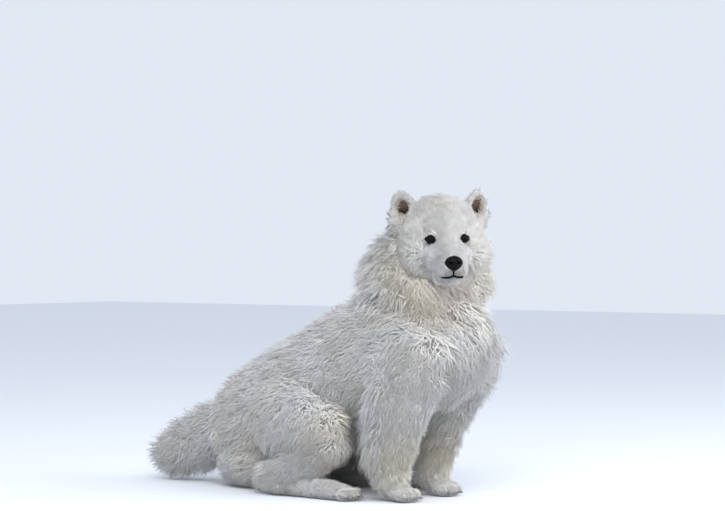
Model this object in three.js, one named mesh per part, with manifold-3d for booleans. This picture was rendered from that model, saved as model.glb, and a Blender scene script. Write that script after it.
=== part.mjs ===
// A samoyed sitting on the floor, head turned to its right, as a life-size model.
// Millimetres, +Z up. The dog's body points along +X and its left side is +Y.
// Each named mesh is one closed body, and touching meshes keep a thin gap.
import * as THREE from "three";
import { mergeVertices } from "three/addons/utils/BufferGeometryUtils.js";
import Module from "manifold-3d";

const wasm = await Module();
wasm.setup();
const { Manifold, Mesh: SolidMesh } = wasm;

// Driving dimensions
const GAP = 0.35;
const LOCK_GAP = 0.5;
const MANE_REACH = 42;
const BODY_REACH = 32;
const LEG_REACH = 22;
const TAIL_REACH = 34;
const HEAD_CENTRE = new THREE.Vector3(216, -51, 582);
const HEAD_TURN = THREE.MathUtils.degToRad(-44.5);
const HEAD_NOD = THREE.MathUtils.degToRad(7);
const HEAD_TILT = THREE.MathUtils.degToRad(1.5);
const COAT_FORMS = true;

// Colours, as the photo shows them
const CREAM = 0xe4e0d6;
const WARM_CREAM = 0xdcd2c0;
const EAR_TAN = 0xc9b8a4;
const NOSE_BLACK = 0x17151a;
const EYE_BROWN = 0x1c120d;

// Random draws are seeded, so each run gives the same dog.
function seededRandom(seed) {
  let state = seed;
  return () => {
    state = (state + 0x6d2b79f5) | 0;
    let t = Math.imul(state ^ (state >>> 15), 1 | state);
    t = (t + Math.imul(t ^ (t >>> 7), 61 | t)) ^ t;
    return ((t ^ (t >>> 14)) >>> 0) / 4294967296;
  };
}

// Solids: a closed three.js geometry becomes a solid, and back again
function welded(geometry) {
  const bare = geometry.index ? geometry.toNonIndexed() : geometry.clone();
  for (const name of Object.keys(bare.attributes)) {
    if (name !== "position") bare.deleteAttribute(name);
  }
  return mergeVertices(bare, 1e-3);
}

function solid(geometry) {
  const shape = welded(geometry);
  const corners = Array.from(shape.index.array);
  const faces = [];
  for (let i = 0; i < corners.length; i += 3) {
    const [a, b, c] = corners.slice(i, i + 3);
    if (a !== b && b !== c && a !== c) faces.push(a, b, c);
  }
  const make = (list) =>
    new Manifold(
      new SolidMesh({
        numProp: 3,
        vertProperties: new Float32Array(shape.attributes.position.array),
        triVerts: new Uint32Array(list),
      }),
    );
  const made = make(faces);
  if (made.volume() > 0) return made;
  const turned = [];
  for (let i = 0; i < faces.length; i += 3) turned.push(faces[i], faces[i + 2], faces[i + 1]);
  return make(turned);
}

// The same geometry grown outwards all round, to cut a clear space for it.
function grown(geometry, amount) {
  const shape = welded(geometry);
  shape.computeVertexNormals();
  const place = shape.attributes.position;
  const out = shape.attributes.normal;
  const sign = facesOut(shape) ? 1 : -1;
  for (let i = 0; i < place.count; i++) {
    place.setXYZ(
      i,
      place.getX(i) + sign * amount * out.getX(i),
      place.getY(i) + sign * amount * out.getY(i),
      place.getZ(i) + sign * amount * out.getZ(i),
    );
  }
  return shape;
}

function facesOut(shape) {
  const p = shape.attributes.position;
  const index = shape.index.array;
  const [a, b, c] = [new THREE.Vector3(), new THREE.Vector3(), new THREE.Vector3()];
  let volume = 0;
  for (let i = 0; i < index.length; i += 3) {
    a.fromBufferAttribute(p, index[i]);
    b.fromBufferAttribute(p, index[i + 1]);
    c.fromBufferAttribute(p, index[i + 2]);
    volume += a.dot(b.cross(c));
  }
  return volume > 0;
}

function largest(shape) {
  const bodies = shape.decompose();
  return bodies.reduce((best, body) => (body.volume() > best.volume() ? body : best));
}

function geometryOf(shape) {
  const mesh = shape.getMesh();
  const count = mesh.numVert;
  const place = new Float32Array(count * 3);
  for (let i = 0; i < count; i++) {
    place.set(mesh.vertProperties.subarray(i * mesh.numProp, i * mesh.numProp + 3), i * 3);
  }
  return new THREE.BufferGeometry()
    .setAttribute("position", new THREE.BufferAttribute(place, 3))
    .setIndex(new THREE.BufferAttribute(new Uint32Array(mesh.triVerts), 1));
}

// A form runs along a middle line, with half breadths across and through at each key.
const key = (x, y, z, across, through) => ({ middle: new THREE.Vector3(x, y, z), across, through });

class Form {
  constructor(keys, side = new THREE.Vector3(0, 1, 0)) {
    this.side = side;
    this.keys = keys;
    this.line = new THREE.CatmullRomCurve3(
      keys.map((k) => k.middle),
      false,
      "centripetal",
    );
    this.samples = [];
    for (let i = 0; i <= 60; i++) this.samples.push(this.line.getPoint(i / 60));
  }

  // Half breadths are eased through their squares, so that the two ends close round.
  half(t) {
    const last = this.keys.length - 1;
    const place = Math.min(Math.max(t, 0), 1) * last;
    const i = Math.min(Math.floor(place), last - 1);
    const f = place - i;
    const value = (name) => {
      const at = (n) => this.keys[Math.min(Math.max(n, 0), last)][name] ** 2;
      const [p0, p1, p2, p3] = [at(i - 1), at(i), at(i + 1), at(i + 2)];
      const cubic = (3 * p1 - p0 - 3 * p2 + p3) * f ** 3;
      const eased = 0.5 * (2 * p1 + (p2 - p0) * f + (2 * p0 - 5 * p1 + 4 * p2 - p3) * f * f + cubic);
      return Math.sqrt(Math.max(eased, 0));
    };
    return [value("across"), value("through")];
  }

  frame(t) {
    const along = this.line.getTangent(Math.min(Math.max(t, 0.001), 0.999));
    const across = this.side.clone().addScaledVector(along, -this.side.dot(along)).normalize();
    const through = new THREE.Vector3().crossVectors(along, across);
    return { along, across, through };
  }

  // Angle 0 points across, and a quarter turn points through.
  out(t, angle) {
    const { across, through } = this.frame(t);
    const [a, b] = this.half(t);
    return across
      .multiplyScalar(Math.cos(angle) / Math.max(a, 1))
      .addScaledVector(through, Math.sin(angle) / Math.max(b, 1))
      .normalize();
  }

  point(t, angle, lift = 0) {
    const { across, through } = this.frame(t);
    const [a, b] = this.half(t);
    return this.line
      .getPoint(Math.min(Math.max(t, 0), 1))
      .addScaledVector(across, Math.cos(angle) * (a + lift))
      .addScaledVector(through, Math.sin(angle) * (b + lift));
  }

  // Millimetres that one whole step of t would cover, at the pace near t
  pace(t) {
    const a = Math.min(Math.max(t, 0), 0.96);
    return this.line.getPoint(a).distanceTo(this.line.getPoint(a + 0.04)) / 0.04;
  }

  inside(p, spare = 0) {
    let best = 0;
    let near = Infinity;
    this.samples.forEach((q, i) => {
      const d = q.distanceToSquared(p);
      if (d < near) [near, best] = [d, i];
    });
    const t = best / 60;
    const { across, through } = this.frame(t);
    const [a, b] = this.half(t);
    const away = p.clone().sub(this.samples[best]);
    if (a + spare <= 0 || b + spare <= 0) return false;
    const reach = (away.dot(across) / (a + spare)) ** 2 + (away.dot(through) / (b + spare)) ** 2;
    const past = (best === 0 || best === 60) && near > (Math.max(spare, 0) + 2) ** 2;
    return reach < 1 && !past;
  }

  // A sphere whose rings are laid along the middle line, with the whole form lifted if asked
  geometry(rings, sides, lift = 0, ends = 0.5) {
    const shape = new THREE.SphereGeometry(1, sides, rings);
    const place = shape.attributes.position;
    for (let i = 0; i < place.count; i++) {
      const v = new THREE.Vector3().fromBufferAttribute(place, i);
      const turn = Math.acos(THREE.MathUtils.clamp(v.y, -1, 1)) / Math.PI;
      const t = THREE.MathUtils.lerp(turn, 0.5 - 0.5 * Math.cos(Math.PI * turn), 0.35);
      const level = Math.hypot(v.x, v.z);
      const round = Math.min(level * 2.2, 1);
      const p = level < 1e-6 ? this.line.getPoint(Math.round(t)) : this.point(t, Math.atan2(v.z, v.x), lift * round);
      if (lift > 0) p.addScaledVector(this.frame(t).along, -lift * ends * v.y * Math.abs(v.y) ** 3);
      place.setXYZ(i, p.x, p.y, p.z);
    }
    return shape;
  }
}

// A flat, tapered lock of coat: a cone laid along a path, wide across and thin through.
// Its room is the same cone a little larger, to cut a clear space for it.
const THIN_EDGE = 8; // how many gaps the room stands off at a lock's thin edges and tip
const LONG_LOCK = [0.8, 1.15, 0.92, 0];
const SHORT_LOCK = [0.85, 1.15, 0];
function lockGeometry(path, width, depth, widths) {
  const lock = lockShape(path, width, depth, widths, 0);
  lock.userData.room = lockShape(path, width, depth, widths, LOCK_GAP);
  return lock;
}
function lockShape(path, width, depth, widths, spare) {
  const shape = new THREE.ConeGeometry(1, 1, 3, widths.length - 1);
  const tip = path(1).middle;
  const past = tip.clone().sub(path(0.96).middle).setLength(THIN_EDGE * spare);
  const place = shape.attributes.position;
  for (let i = 0; i < place.count; i++) {
    const s = place.getY(i) + 0.5;
    const { middle, across, up } = path(s);
    const share = widths[Math.round(s * (widths.length - 1))];
    const level = Math.hypot(place.getX(i), place.getZ(i));
    const turn = Math.atan2(place.getZ(i), place.getX(i));
    const p = middle.clone();
    if (level > 1e-6 && share > 0) {
      const edge = Math.abs(Math.cos(turn)) > 0.1 ? Math.sign(Math.cos(turn)) : 0;
      p.addScaledVector(across, (Math.cos(turn) * share * width) / 2 + edge * THIN_EDGE * spare);
      p.addScaledVector(up, (Math.sin(turn) * share * depth) / 2 + Math.sign(Math.sin(turn)) * spare);
    }
    if (share === 0) p.add(past);
    place.setXYZ(i, p.x, p.y, p.z);
  }
  return shape;
}

// A lock that grows from a form and follows it, rising from its root and then lying over at its tip
function lockOn(form, { t, angle, length, around, curl, width, depth, sink = 14, rise, widths }) {
  const straight = Math.sqrt(Math.max(length ** 2 - around ** 2, (0.25 * length) ** 2));
  const run = straight / form.pace(t + (0.4 * straight) / form.pace(t));
  const [a, b] = form.half(t);
  const drift = around / ((a + b) / 2 + rise);
  const pathAt = (s) => {
    const height = -sink + (sink + rise) * (1 - (1 - s) ** 2.4) - 0.3 * rise * s ** 4;
    return form.point(Math.min(t + run * s, 0.995), angle + drift * s + curl * s * s, height);
  };
  const path = (s) => {
    const along = pathAt(Math.min(s + 0.03, 1))
      .sub(pathAt(Math.max(s - 0.03, 0)))
      .normalize();
    const outward = form.out(Math.min(t + run * s, 0.97), angle + drift * s + curl * s * s);
    const across = new THREE.Vector3().crossVectors(along, outward).normalize();
    const up = new THREE.Vector3().crossVectors(across, along).normalize();
    return { middle: pathAt(s), across, up };
  };
  return lockGeometry(path, width, depth, widths);
}

// A lock that grows from a point, out along one way and then bending towards another.
function looseLock({ root, out, lie, length, width, depth, across = null }) {
  const spine = new THREE.QuadraticBezierCurve3(
    root.clone().addScaledVector(out, -12),
    root
      .clone()
      .addScaledVector(out, length * 0.26)
      .addScaledVector(lie, length * 0.3),
    root
      .clone()
      .addScaledVector(out, length * 0.2)
      .addScaledVector(lie, length),
  );
  const path = (s) => {
    const along = spine.getTangent(s);
    const flat = (across ?? new THREE.Vector3().crossVectors(lie, out)).clone();
    flat.addScaledVector(along, -flat.dot(along)).normalize();
    return { middle: spine.getPoint(s), across: flat, up: new THREE.Vector3().crossVectors(flat, along) };
  };
  return lockGeometry(path, width, depth, LONG_LOCK);
}

// The tip is the first corner of a lock, because a cone's rings start there.
function tipOf(lock) {
  return new THREE.Vector3().fromBufferAttribute(lock.attributes.position, 0);
}

// Rows of locks round a form, an even way apart, each row set half a step from the one before
function coatRows(form, { seed, from, to, step, spacing, length, width, depth, rise, gravity, widths, keep, clear }) {
  if (!COAT_FORMS) return [];
  const random = seededRandom(seed);
  const locks = [];
  let t = from;
  for (let row = 0; t < to; row++) {
    const [a, b] = form.half(t);
    const round = Math.PI * (3 * (a + b) - Math.sqrt((3 * a + b) * (a + 3 * b)));
    const count = Math.max(3, Math.round(round / spacing));
    for (let i = 0; i < count; i++) {
      const angle = ((i + (row % 2) / 2 + (random() - 0.5) * 0.25) / count) * 2 * Math.PI;
      const at = THREE.MathUtils.clamp(t + ((random() - 0.5) * 0.2 * step) / form.pace(t), 0.02, 0.96);
      const draws = [random(), random(), random(), random()];
      const root = form.point(at, angle);
      const out = form.out(at, angle);
      if (!keep(root, out, at, angle)) continue;
      const long = length * (0.88 + 0.24 * draws[0]);
      const lock = lockOn(form, {
        t: at,
        angle,
        length: long,
        around: long * (gravity * slant(form, at, angle) + (draws[1] - 0.5) * 0.24),
        curl: (draws[1] - 0.5) * 0.16,
        width: width * (0.92 + 0.16 * draws[2]),
        depth,
        rise: rise * (0.86 + 0.28 * draws[3]),
        widths: widths ?? SHORT_LOCK,
      });
      if (!clear || clear(tipOf(lock))) locks.push(lock);
    }
    t += step / form.pace(t);
  }
  return locks;
}

// How steeply the side slants down at an angle, from -1 to 1, as gravity draws the coat that way
function slant(form, t, angle) {
  const step = 0.05;
  const [here, there] = [form.point(t, angle - step), form.point(t, angle + step)];
  return THREE.MathUtils.clamp((here.z - there.z) / here.distanceTo(there), -1, 1);
}

// Head: a skin wrapped round blended skull, cheeks, brow and muzzle, in the head's own frame
const headFrame = new THREE.Matrix4()
  .makeTranslation(HEAD_CENTRE)
  .multiply(new THREE.Matrix4().makeRotationZ(HEAD_TURN))
  .multiply(new THREE.Matrix4().makeRotationY(HEAD_NOD))
  .multiply(new THREE.Matrix4().makeRotationX(HEAD_TILT));
const inHead = (x, y, z) => new THREE.Vector3(x, y, z).applyMatrix4(headFrame);
const wayInHead = (x, y, z) => new THREE.Vector3(x, y, z).transformDirection(headFrame);

const ball = (x, y, z, rx, ry, rz) => ({ middle: new THREE.Vector3(x, y, z), half: new THREE.Vector3(rx, ry, rz) });
const pair = (x, y, z, rx, ry, rz) => [ball(x, y, z, rx, ry, rz), ball(x, -y, z, rx, ry, rz)];
const headBalls = [
  ball(-20, 0, 24, 68, 74, 70), // skull
  ball(32, 0, 26, 38, 52, 38), // forehead
  ...pair(-34, 58, 20, 36, 34, 40), // ear roots
  ...pair(14, 49, -32, 46, 42, 48), // cheeks
  ...pair(47, 31, 11, 16, 18, 14), // brow over each eye
  ball(68, 0, -25, 44, 34, 29), // bridge of the muzzle
  ball(100, 0, -38, 34, 31, 27), // fore muzzle
  ball(120, 0, -40, 15, 22, 20), // under the nose
  ...pair(92, 19, -54, 33, 19, 21), // upper lips
  ball(76, 0, -70, 42, 27, 18), // lower jaw
  ball(103, 0, -74, 17, 18, 13), // chin
  ball(8, 0, -56, 54, 54, 40), // throat
];
const BLEND = 13;
function headField(p) {
  let field = 1e3;
  for (const { middle, half } of headBalls) {
    const q = p.clone().sub(middle);
    const k0 = q.clone().divide(half).length();
    const k1 = q.clone().divide(half).divide(half).length();
    const d = k0 < 1e-6 ? -Math.min(half.x, half.y, half.z) : (k0 * (k0 - 1)) / k1;
    const h = Math.max(BLEND - Math.abs(field - d), 0) / BLEND;
    field = Math.min(field, d) - (h * h * BLEND) / 4;
  }
  return field;
}

// The furthest place from a start, along a way, that is still in the head
function headReach(start, way, most = 140) {
  let far = most;
  while (far > 0 && headField(start.clone().addScaledVector(way, far)) > 0) far -= 2.5;
  let [low, high] = [Math.max(far, 0), far + 2.5];
  for (let i = 0; i < 12; i++) {
    const mid = (low + high) / 2;
    if (headField(start.clone().addScaledVector(way, mid)) > 0) high = mid;
    else low = mid;
  }
  return low;
}

function headSkin(rings, sides) {
  const line = new THREE.CatmullRomCurve3([
    new THREE.Vector3(-64, 0, 8),
    new THREE.Vector3(0, 0, -4),
    new THREE.Vector3(60, 0, -32),
    new THREE.Vector3(116, 0, -48),
  ]);
  const shape = new THREE.SphereGeometry(1, sides, rings);
  const place = shape.attributes.position;
  for (let i = 0; i < place.count; i++) {
    const v = new THREE.Vector3().fromBufferAttribute(place, i);
    const turn = Math.acos(THREE.MathUtils.clamp(v.y, -1, 1)) / Math.PI;
    const start = line.getPoint(turn);
    const along = line.getTangent(turn);
    const up = new THREE.Vector3(0, 0, 1).addScaledVector(along, -along.z).normalize();
    const left = new THREE.Vector3().crossVectors(up, along);
    const level = Math.hypot(v.x, v.z);
    const way = new THREE.Vector3().addScaledVector(along, -v.y * Math.abs(v.y) ** 1.5);
    if (level > 1e-6) {
      way.addScaledVector(left, (v.x / level) * level ** 0.5).addScaledVector(up, (v.z / level) * level ** 0.5);
    }
    way.normalize();
    const p = start.addScaledVector(way, headReach(start, way));
    place.setXYZ(i, p.x, p.y, p.z);
  }
  return shape;
}

// Eyes: a ball set just under the skin, with an almond rim of lid round it
const EYE_RADIUS = 11.5;
const EYE_SIDE = 35;
const EYE_HEIGHT = 3;
const EYE_DEEP = 8.2;
function eyeCentre(side) {
  const way = new THREE.Vector3(0.93, 0.36 * side, 0.05).normalize();
  const start = new THREE.Vector3(20, EYE_SIDE * side - 12 * side, EYE_HEIGHT);
  return start.addScaledVector(way, headReach(start, way) - EYE_DEEP);
}
function lidRim(side) {
  const centre = eyeCentre(side);
  const forward = new THREE.Vector3(0.9, 0.42 * side, 0.06).normalize();
  const outer = new THREE.Vector3(0, side, 0.16);
  outer.addScaledVector(forward, -forward.dot(outer)).normalize();
  const up = new THREE.Vector3().crossVectors(forward, outer).multiplyScalar(side);
  const points = [];
  for (let i = 0; i < 12; i++) {
    const turn = (i / 12) * 2 * Math.PI;
    const [wide, high] = [Math.cos(turn) * 10.6, Math.sin(turn) * (Math.sin(turn) > 0 ? 7 : 6)];
    const deep = Math.sqrt(Math.max((EYE_RADIUS + 0.8) ** 2 - wide * wide - high * high, 9));
    points.push(
      centre.clone().addScaledVector(outer, wide).addScaledVector(up, high).addScaledVector(forward, deep),
    );
  }
  return new THREE.TubeGeometry(new THREE.CatmullRomCurve3(points, true), 16, 2.2, 5, true);
}

// Ears: thick, upright and rounded at the tip, with a scooped cup that faces forward and out
const EAR_LENGTH = 68;
function earForms(side) {
  const base = new THREE.Vector3(-38, 78 * side, 38);
  const up = new THREE.Vector3(-0.06, 0.12 * side, 0.95).normalize();
  const face = new THREE.Vector3(0.88, 0.46 * side, 0);
  face.addScaledVector(up, -face.dot(up)).normalize();
  const wide = new THREE.Vector3().crossVectors(up, face).normalize();
  const station = (s, forward, across, through) => {
    const p = base
      .clone()
      .addScaledVector(up, s * EAR_LENGTH)
      .addScaledVector(face, forward);
    return key(p.x, p.y, p.z, across, through);
  };
  const shell = [
    station(-0.3, 0, 0, 0),
    station(-0.12, 0, 33, 19),
    station(0.15, 0, 36, 18),
    station(0.45, 0, 34, 14),
    station(0.74, 1, 27, 11),
    station(0.93, 2, 15, 8),
    station(1.0, 2, 0, 0),
  ];
  const cup = [
    station(-0.02, 17, 0, 0),
    station(0.08, 17, 17, 11),
    station(0.3, 15, 20, 12),
    station(0.55, 12, 16, 9),
    station(0.78, 10, 8, 6),
    station(0.87, 9, 0, 0),
  ];
  return { shell: new Form(shell, wide), cup: new Form(cup, wide) };
}

// Nose: a leather pad with two nostrils and the groove below them
const NOSE_CENTRE = new THREE.Vector3(131, 0, -37);
function noseSolid(growth = 0) {
  const pad = new THREE.SphereGeometry(1, 14, 8);
  const place = pad.attributes.position;
  for (let i = 0; i < place.count; i++) {
    const v = new THREE.Vector3().fromBufferAttribute(place, i);
    const narrow = v.y < 0 ? 1 + 0.42 * v.y : 1;
    place.setXYZ(
      i,
      NOSE_CENTRE.x + v.z * (13 + growth),
      NOSE_CENTRE.y + v.x * (19 + growth) * narrow,
      NOSE_CENTRE.z + v.y * (16.5 + growth),
    );
  }
  return solid(pad.applyMatrix4(headFrame));
}
function nostril(side) {
  const plug = new THREE.SphereGeometry(1, 8, 6);
  plug.scale(8, 3.8, 4.6).translate(NOSE_CENTRE.x + 12, NOSE_CENTRE.y + side * 8.2, NOSE_CENTRE.z + 0.5);
  return solid(plug.applyMatrix4(headFrame));
}
function philtrum() {
  const slot = new THREE.CylinderGeometry(1.1, 1.1, 16, 4);
  slot.rotateX(Math.PI / 2).rotateY(0.25).rotateX(Math.PI / 2);
  return solid(slot.translate(NOSE_CENTRE.x + 12.4, 0, NOSE_CENTRE.z - 9).applyMatrix4(headFrame));
}

// Mouth: the two lips are one roll round the muzzle, parted by a thin slit
const mouthLine = [
  [60, 34, -60],
  [80, 30, -67],
  [98, 22, -69],
  [110, 10, -67],
  [113, 0, -64],
  [110, -10, -67],
  [98, -22, -69],
  [80, -30, -67],
  [60, -34, -60],
].map(([x, y, z]) => {
  const start = new THREE.Vector3(x - 40, 0, z);
  const way = new THREE.Vector3(40, y, 0).normalize();
  return start.addScaledVector(way, headReach(start, way));
});
function mouthTube(profile, steps) {
  const tube = new THREE.ExtrudeGeometry(profile, {
    steps,
    curveSegments: 2,
    bevelEnabled: false,
    extrudePath: new THREE.CatmullRomCurve3(mouthLine),
  });
  return tube.applyMatrix4(headFrame);
}
const lipProfile = new THREE.Shape()
  .moveTo(3, 0)
  .lineTo(1.5, 2.4)
  .lineTo(-1.5, 2.4)
  .lineTo(-3, 0)
  .lineTo(-1.5, -2.4)
  .lineTo(1.5, -2.4);
const slitProfile = new THREE.Shape().moveTo(5, 0).lineTo(0, 0.8).lineTo(-5, 0).lineTo(0, -0.8);

// Body forms, from the chest to the tip of the tail. The core stands at half of the coat's depth.
const torsoForm = new Form([
  key(266, 0, 352, 0, 0),
  key(224, 0, 354, 104, 112),
  key(150, 0, 346, 130, 134),
  key(60, 0, 330, 136, 136),
  key(-40, 0, 294, 130, 130),
  key(-140, 0, 246, 128, 126),
  key(-230, 0, 200, 134, 128),
  key(-316, 0, 160, 122, 120),
  key(-382, 0, 130, 88, 92),
  key(-418, 0, 112, 0, 0),
]);
const seatForm = new Form([
  key(-215, 0, 60, 0, 0),
  key(-250, 0, 66, 92, 76),
  key(-310, 0, 66, 112, 82),
  key(-372, 0, 62, 86, 70),
  key(-410, 0, 58, 0, 0),
]);
const neckForm = new Form([
  key(182, -22, 664, 0, 0),
  key(176, -18, 632, 92, 76),
  key(160, -16, 584, 108, 104),
  key(143, -15, 528, 118, 116),
  key(126, -8, 470, 129, 130),
  key(110, -2, 410, 128, 128),
  key(98, 0, 350, 122, 120),
  key(86, 0, 300, 0, 0),
]);
const tailForm = new Form([
  key(-376, 0, 156, 0, 0),
  key(-410, 0, 148, 58, 64),
  key(-470, -2, 122, 58, 66),
  key(-531, -6, 96, 54, 62),
  key(-580, -12, 76, 45, 50),
  key(-620, -18, 62, 32, 36),
  key(-646, -24, 54, 17, 20),
  key(-660, -26, 52, 0, 0),
]);

function foreleg(side) {
  return new Form([
    key(204, 96 * side, 392, 0, 0),
    key(192, 100 * side, 360, 34, 62),
    key(168, 100 * side, 300, 42, 66),
    key(142, 94 * side, 236, 40, 56),
    key(118, 86 * side, 160, 33, 40),
    key(100, 80 * side, 92, 30, 34),
    key(92, 78 * side, 44, 28, 30),
    key(88, 78 * side, 12, 0, 0),
  ]);
}
function forepaw(side) {
  const toe = (x, y, size) => ball(x, (78 + y) * side, 17, 25 * size, 13.5 * size, 22 * size);
  const toes = [toe(141, -24, 0.94), toe(149, -8, 1.06), toe(148, 9, 1.06), toe(140, 25, 0.94)];
  return { pad: ball(106, 78 * side, 26, 38, 31, 32), toes };
}
function thigh(side) {
  return new Form([
    key(-262, 60 * side, 190, 0, 0),
    key(-232, 84 * side, 186, 58, 76),
    key(-160, 108 * side, 170, 60, 86),
    key(-90, 122 * side, 154, 50, 76),
    key(-36, 126 * side, 140, 40, 58),
    key(-8, 126 * side, 130, 0, 0),
  ]);
}
function shank(side) {
  return new Form([
    key(-14, 126 * side, 154, 0, 0),
    key(-36, 128 * side, 128, 40, 44),
    key(-100, 130 * side, 84, 38, 42),
    key(-168, 128 * side, 46, 32, 38),
    key(-216, 126 * side, 34, 27, 32),
    key(-238, 125 * side, 36, 0, 0),
  ]);
}
function hindfoot(side) {
  const toe = (x, y, size) => ball(x, (134 + y) * side, 15, 24 * size, 13 * size, 20 * size);
  const foot = new Form([
    key(-206, 128 * side, 22, 0, 0),
    key(-180, 128 * side, 24, 24, 24),
    key(-110, 130 * side, 22, 27, 24),
    key(-40, 133 * side, 22, 30, 26),
    key(4, 134 * side, 18, 27, 22),
    key(20, 134 * side, 16, 0, 0),
  ]);
  return { foot, toes: [toe(20, -22, 0.94), toe(29, -8, 1.04), toe(28, 8, 1.04), toe(19, 22, 0.94)] };
}

const ellipsoid = ({ middle, half }, sides = 8, rings = 6) =>
  new THREE.SphereGeometry(1, sides, rings).scale(half.x, half.y, half.z).translate(middle.x, middle.y, middle.z);

// A claw curves down from the front of its toe.
function claw({ middle, half }) {
  const cone = new THREE.ConeGeometry(4.6, 16, 3).rotateZ(-Math.PI / 2).rotateY(0.5);
  return cone.translate(middle.x + half.x * 0.92, middle.y, middle.z - half.z * 0.1);
}

// Floor: everything stops at the level that the dog rests on
const below = solid(new THREE.BoxGeometry(3000, 3000, 400).translate(0, 0, -200));
const onFloor = (shape) => shape.subtract(below);

// Coat: locks of each part, left out where another part covers their roots
const forelegs = { left: foreleg(1), right: foreleg(-1) };
const thighs = { left: thigh(1), right: thigh(-1) };
const shanks = { left: shank(1), right: shank(-1) };
const headKeys = [
  [-92, 8, 0, 0],
  [-64, 8, 70, 66],
  [0, 0, 84, 80],
  [60, -16, 60, 60],
  [130, -30, 30, 30],
  [160, -30, 0, 0],
].map(([x, z, across, through]) => key(...inHead(x, 0, z).toArray(), across, through));
const headRoomForm = new Form(headKeys, wayInHead(0, 1, 0));

// The ruff has its own locks in front of the cheeks and under the throat.
const inRuff = (p) => p.clone().applyMatrix4(headFrame.clone().invert()).x > -24 && p.z > 400;
const neckLocks = coatRows(neckForm, {
  seed: 12,
  from: 0.2,
  to: 0.8,
  step: 56,
  spacing: 90,
  length: 118,
  width: 98,
  depth: 16,
  rise: MANE_REACH,
  gravity: 0.2,
  widths: LONG_LOCK,
  keep: (root) => !headRoomForm.inside(root, 8) && !torsoForm.inside(root, -20) && !inRuff(root),
  clear: (tip) => !torsoForm.inside(tip, -4),
});
const torsoLocks = coatRows(torsoForm, {
  seed: 23,
  from: 0.2,
  to: 0.93,
  step: 74,
  spacing: 104,
  length: 136,
  width: 112,
  depth: 15,
  rise: BODY_REACH,
  gravity: 0.72,
  keep: (root) =>
    root.z > 40 &&
    !neckForm.inside(root, 10) &&
    !Object.values(forelegs).some((form) => form.inside(root, 8)) &&
    !Object.values(thighs).some((form) => form.inside(root, 10)) &&
    !Object.values(shanks).some((form) => form.inside(root, 10)) &&
    !seatForm.inside(root, -6),
  clear: (tip) =>
    !Object.values(forelegs).some((form) => form.inside(tip, -20)) &&
    !Object.values(thighs).some((form) => form.inside(tip, -24)) &&
    !tailForm.inside(tip, -4),
});
const tailLocks = coatRows(tailForm, {
  seed: 37,
  from: 0.24,
  to: 0.66,
  step: 66,
  spacing: 86,
  length: 112,
  width: 88,
  depth: 14,
  rise: TAIL_REACH,
  gravity: 0.1,
  keep: (root) => root.z > 34 && !torsoForm.inside(root, 10),
});
function thighLocks(side, form) {
  return coatRows(form, {
    seed: side > 0 ? 91 : 93,
    from: 0.22,
    to: 0.84,
    step: 68,
    spacing: 98,
    length: 106,
    width: 100,
    depth: 14,
    rise: LEG_REACH,
    gravity: 0.85,
    keep: (root, out) => out.y * side > 0.05 && !torsoForm.inside(root, 6) && root.z > 70,
  });
}
function forelegLocks(side, form) {
  const locks = coatRows(form, {
    seed: side > 0 ? 55 : 57,
    from: 0.2,
    to: 0.6,
    step: 68,
    spacing: 96,
    length: 96,
    width: 90,
    depth: 13,
    rise: LEG_REACH,
    gravity: 0.1,
    keep: (root, out) => out.y * side > 0.1 && !torsoForm.inside(root, 8) && !neckForm.inside(root, 30),
  });
  if (!COAT_FORMS) return locks;
  // the feathering that trails behind the forearm
  const random = seededRandom(side > 0 ? 51 : 53);
  for (let i = 0; i < 3; i++) {
    const t = 0.44 + 0.13 * i;
    const turn = (form.out(t, Math.PI / 2).x < 0 ? 1 : -1) * (Math.PI / 2 + (random() - 0.5) * 0.8);
    locks.push(
      looseLock({
        root: form.point(t, turn),
        out: form.out(t, turn),
        lie: new THREE.Vector3(-0.62, 0.04 * side, -0.78).normalize(),
        length: 108 - 12 * i,
        width: 74,
        depth: 16,
        across: new THREE.Vector3(0.35, side, 0),
      }),
    );
  }
  return locks;
}

// The last place from a start, along a way, that is still in a form
function formReach(form, start, way, most = 220) {
  let far = 0;
  while (far < most && form.inside(start.clone().addScaledVector(way, far + 2))) far += 2;
  return start.clone().addScaledVector(way, far);
}

// Ruff: locks that stand out from the collar of the neck, round the cheeks and under the throat
function ruffLocks() {
  if (!COAT_FORMS) return [];
  const random = seededRandom(71);
  const locks = [];
  const ring = (count, far, from, length, width) => {
    for (let i = 0; i < count; i++) {
      const share = (i + 0.5 + (random() - 0.5) * 0.3) / count;
      const turn = THREE.MathUtils.lerp(from, 2 - from, share) * Math.PI;
      const radial = wayInHead(0, Math.sin(turn), Math.cos(turn));
      const rim = formReach(neckForm, inHead(-56, 0, -8), radial, far);
      const root = formReach(neckForm, rim, wayInHead(1, 0, 0), 130);
      const lie = wayInHead(-0.1, Math.sin(turn) * 0.08, Math.cos(turn) * 0.2).add(new THREE.Vector3(0, 0, -0.8));
      locks.push(
        looseLock({
          root,
          out: wayInHead(0.7, Math.sin(turn) * 0.55, Math.cos(turn) * 0.6),
          lie: lie.normalize(),
          length: length * (0.9 + 0.2 * random()),
          width,
          depth: 16,
        }),
      );
    }
  };
  ring(7, 90, 0.42, 88, 84);
  ring(7, 150, 0.52, 98, 94);
  return locks;
}

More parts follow.
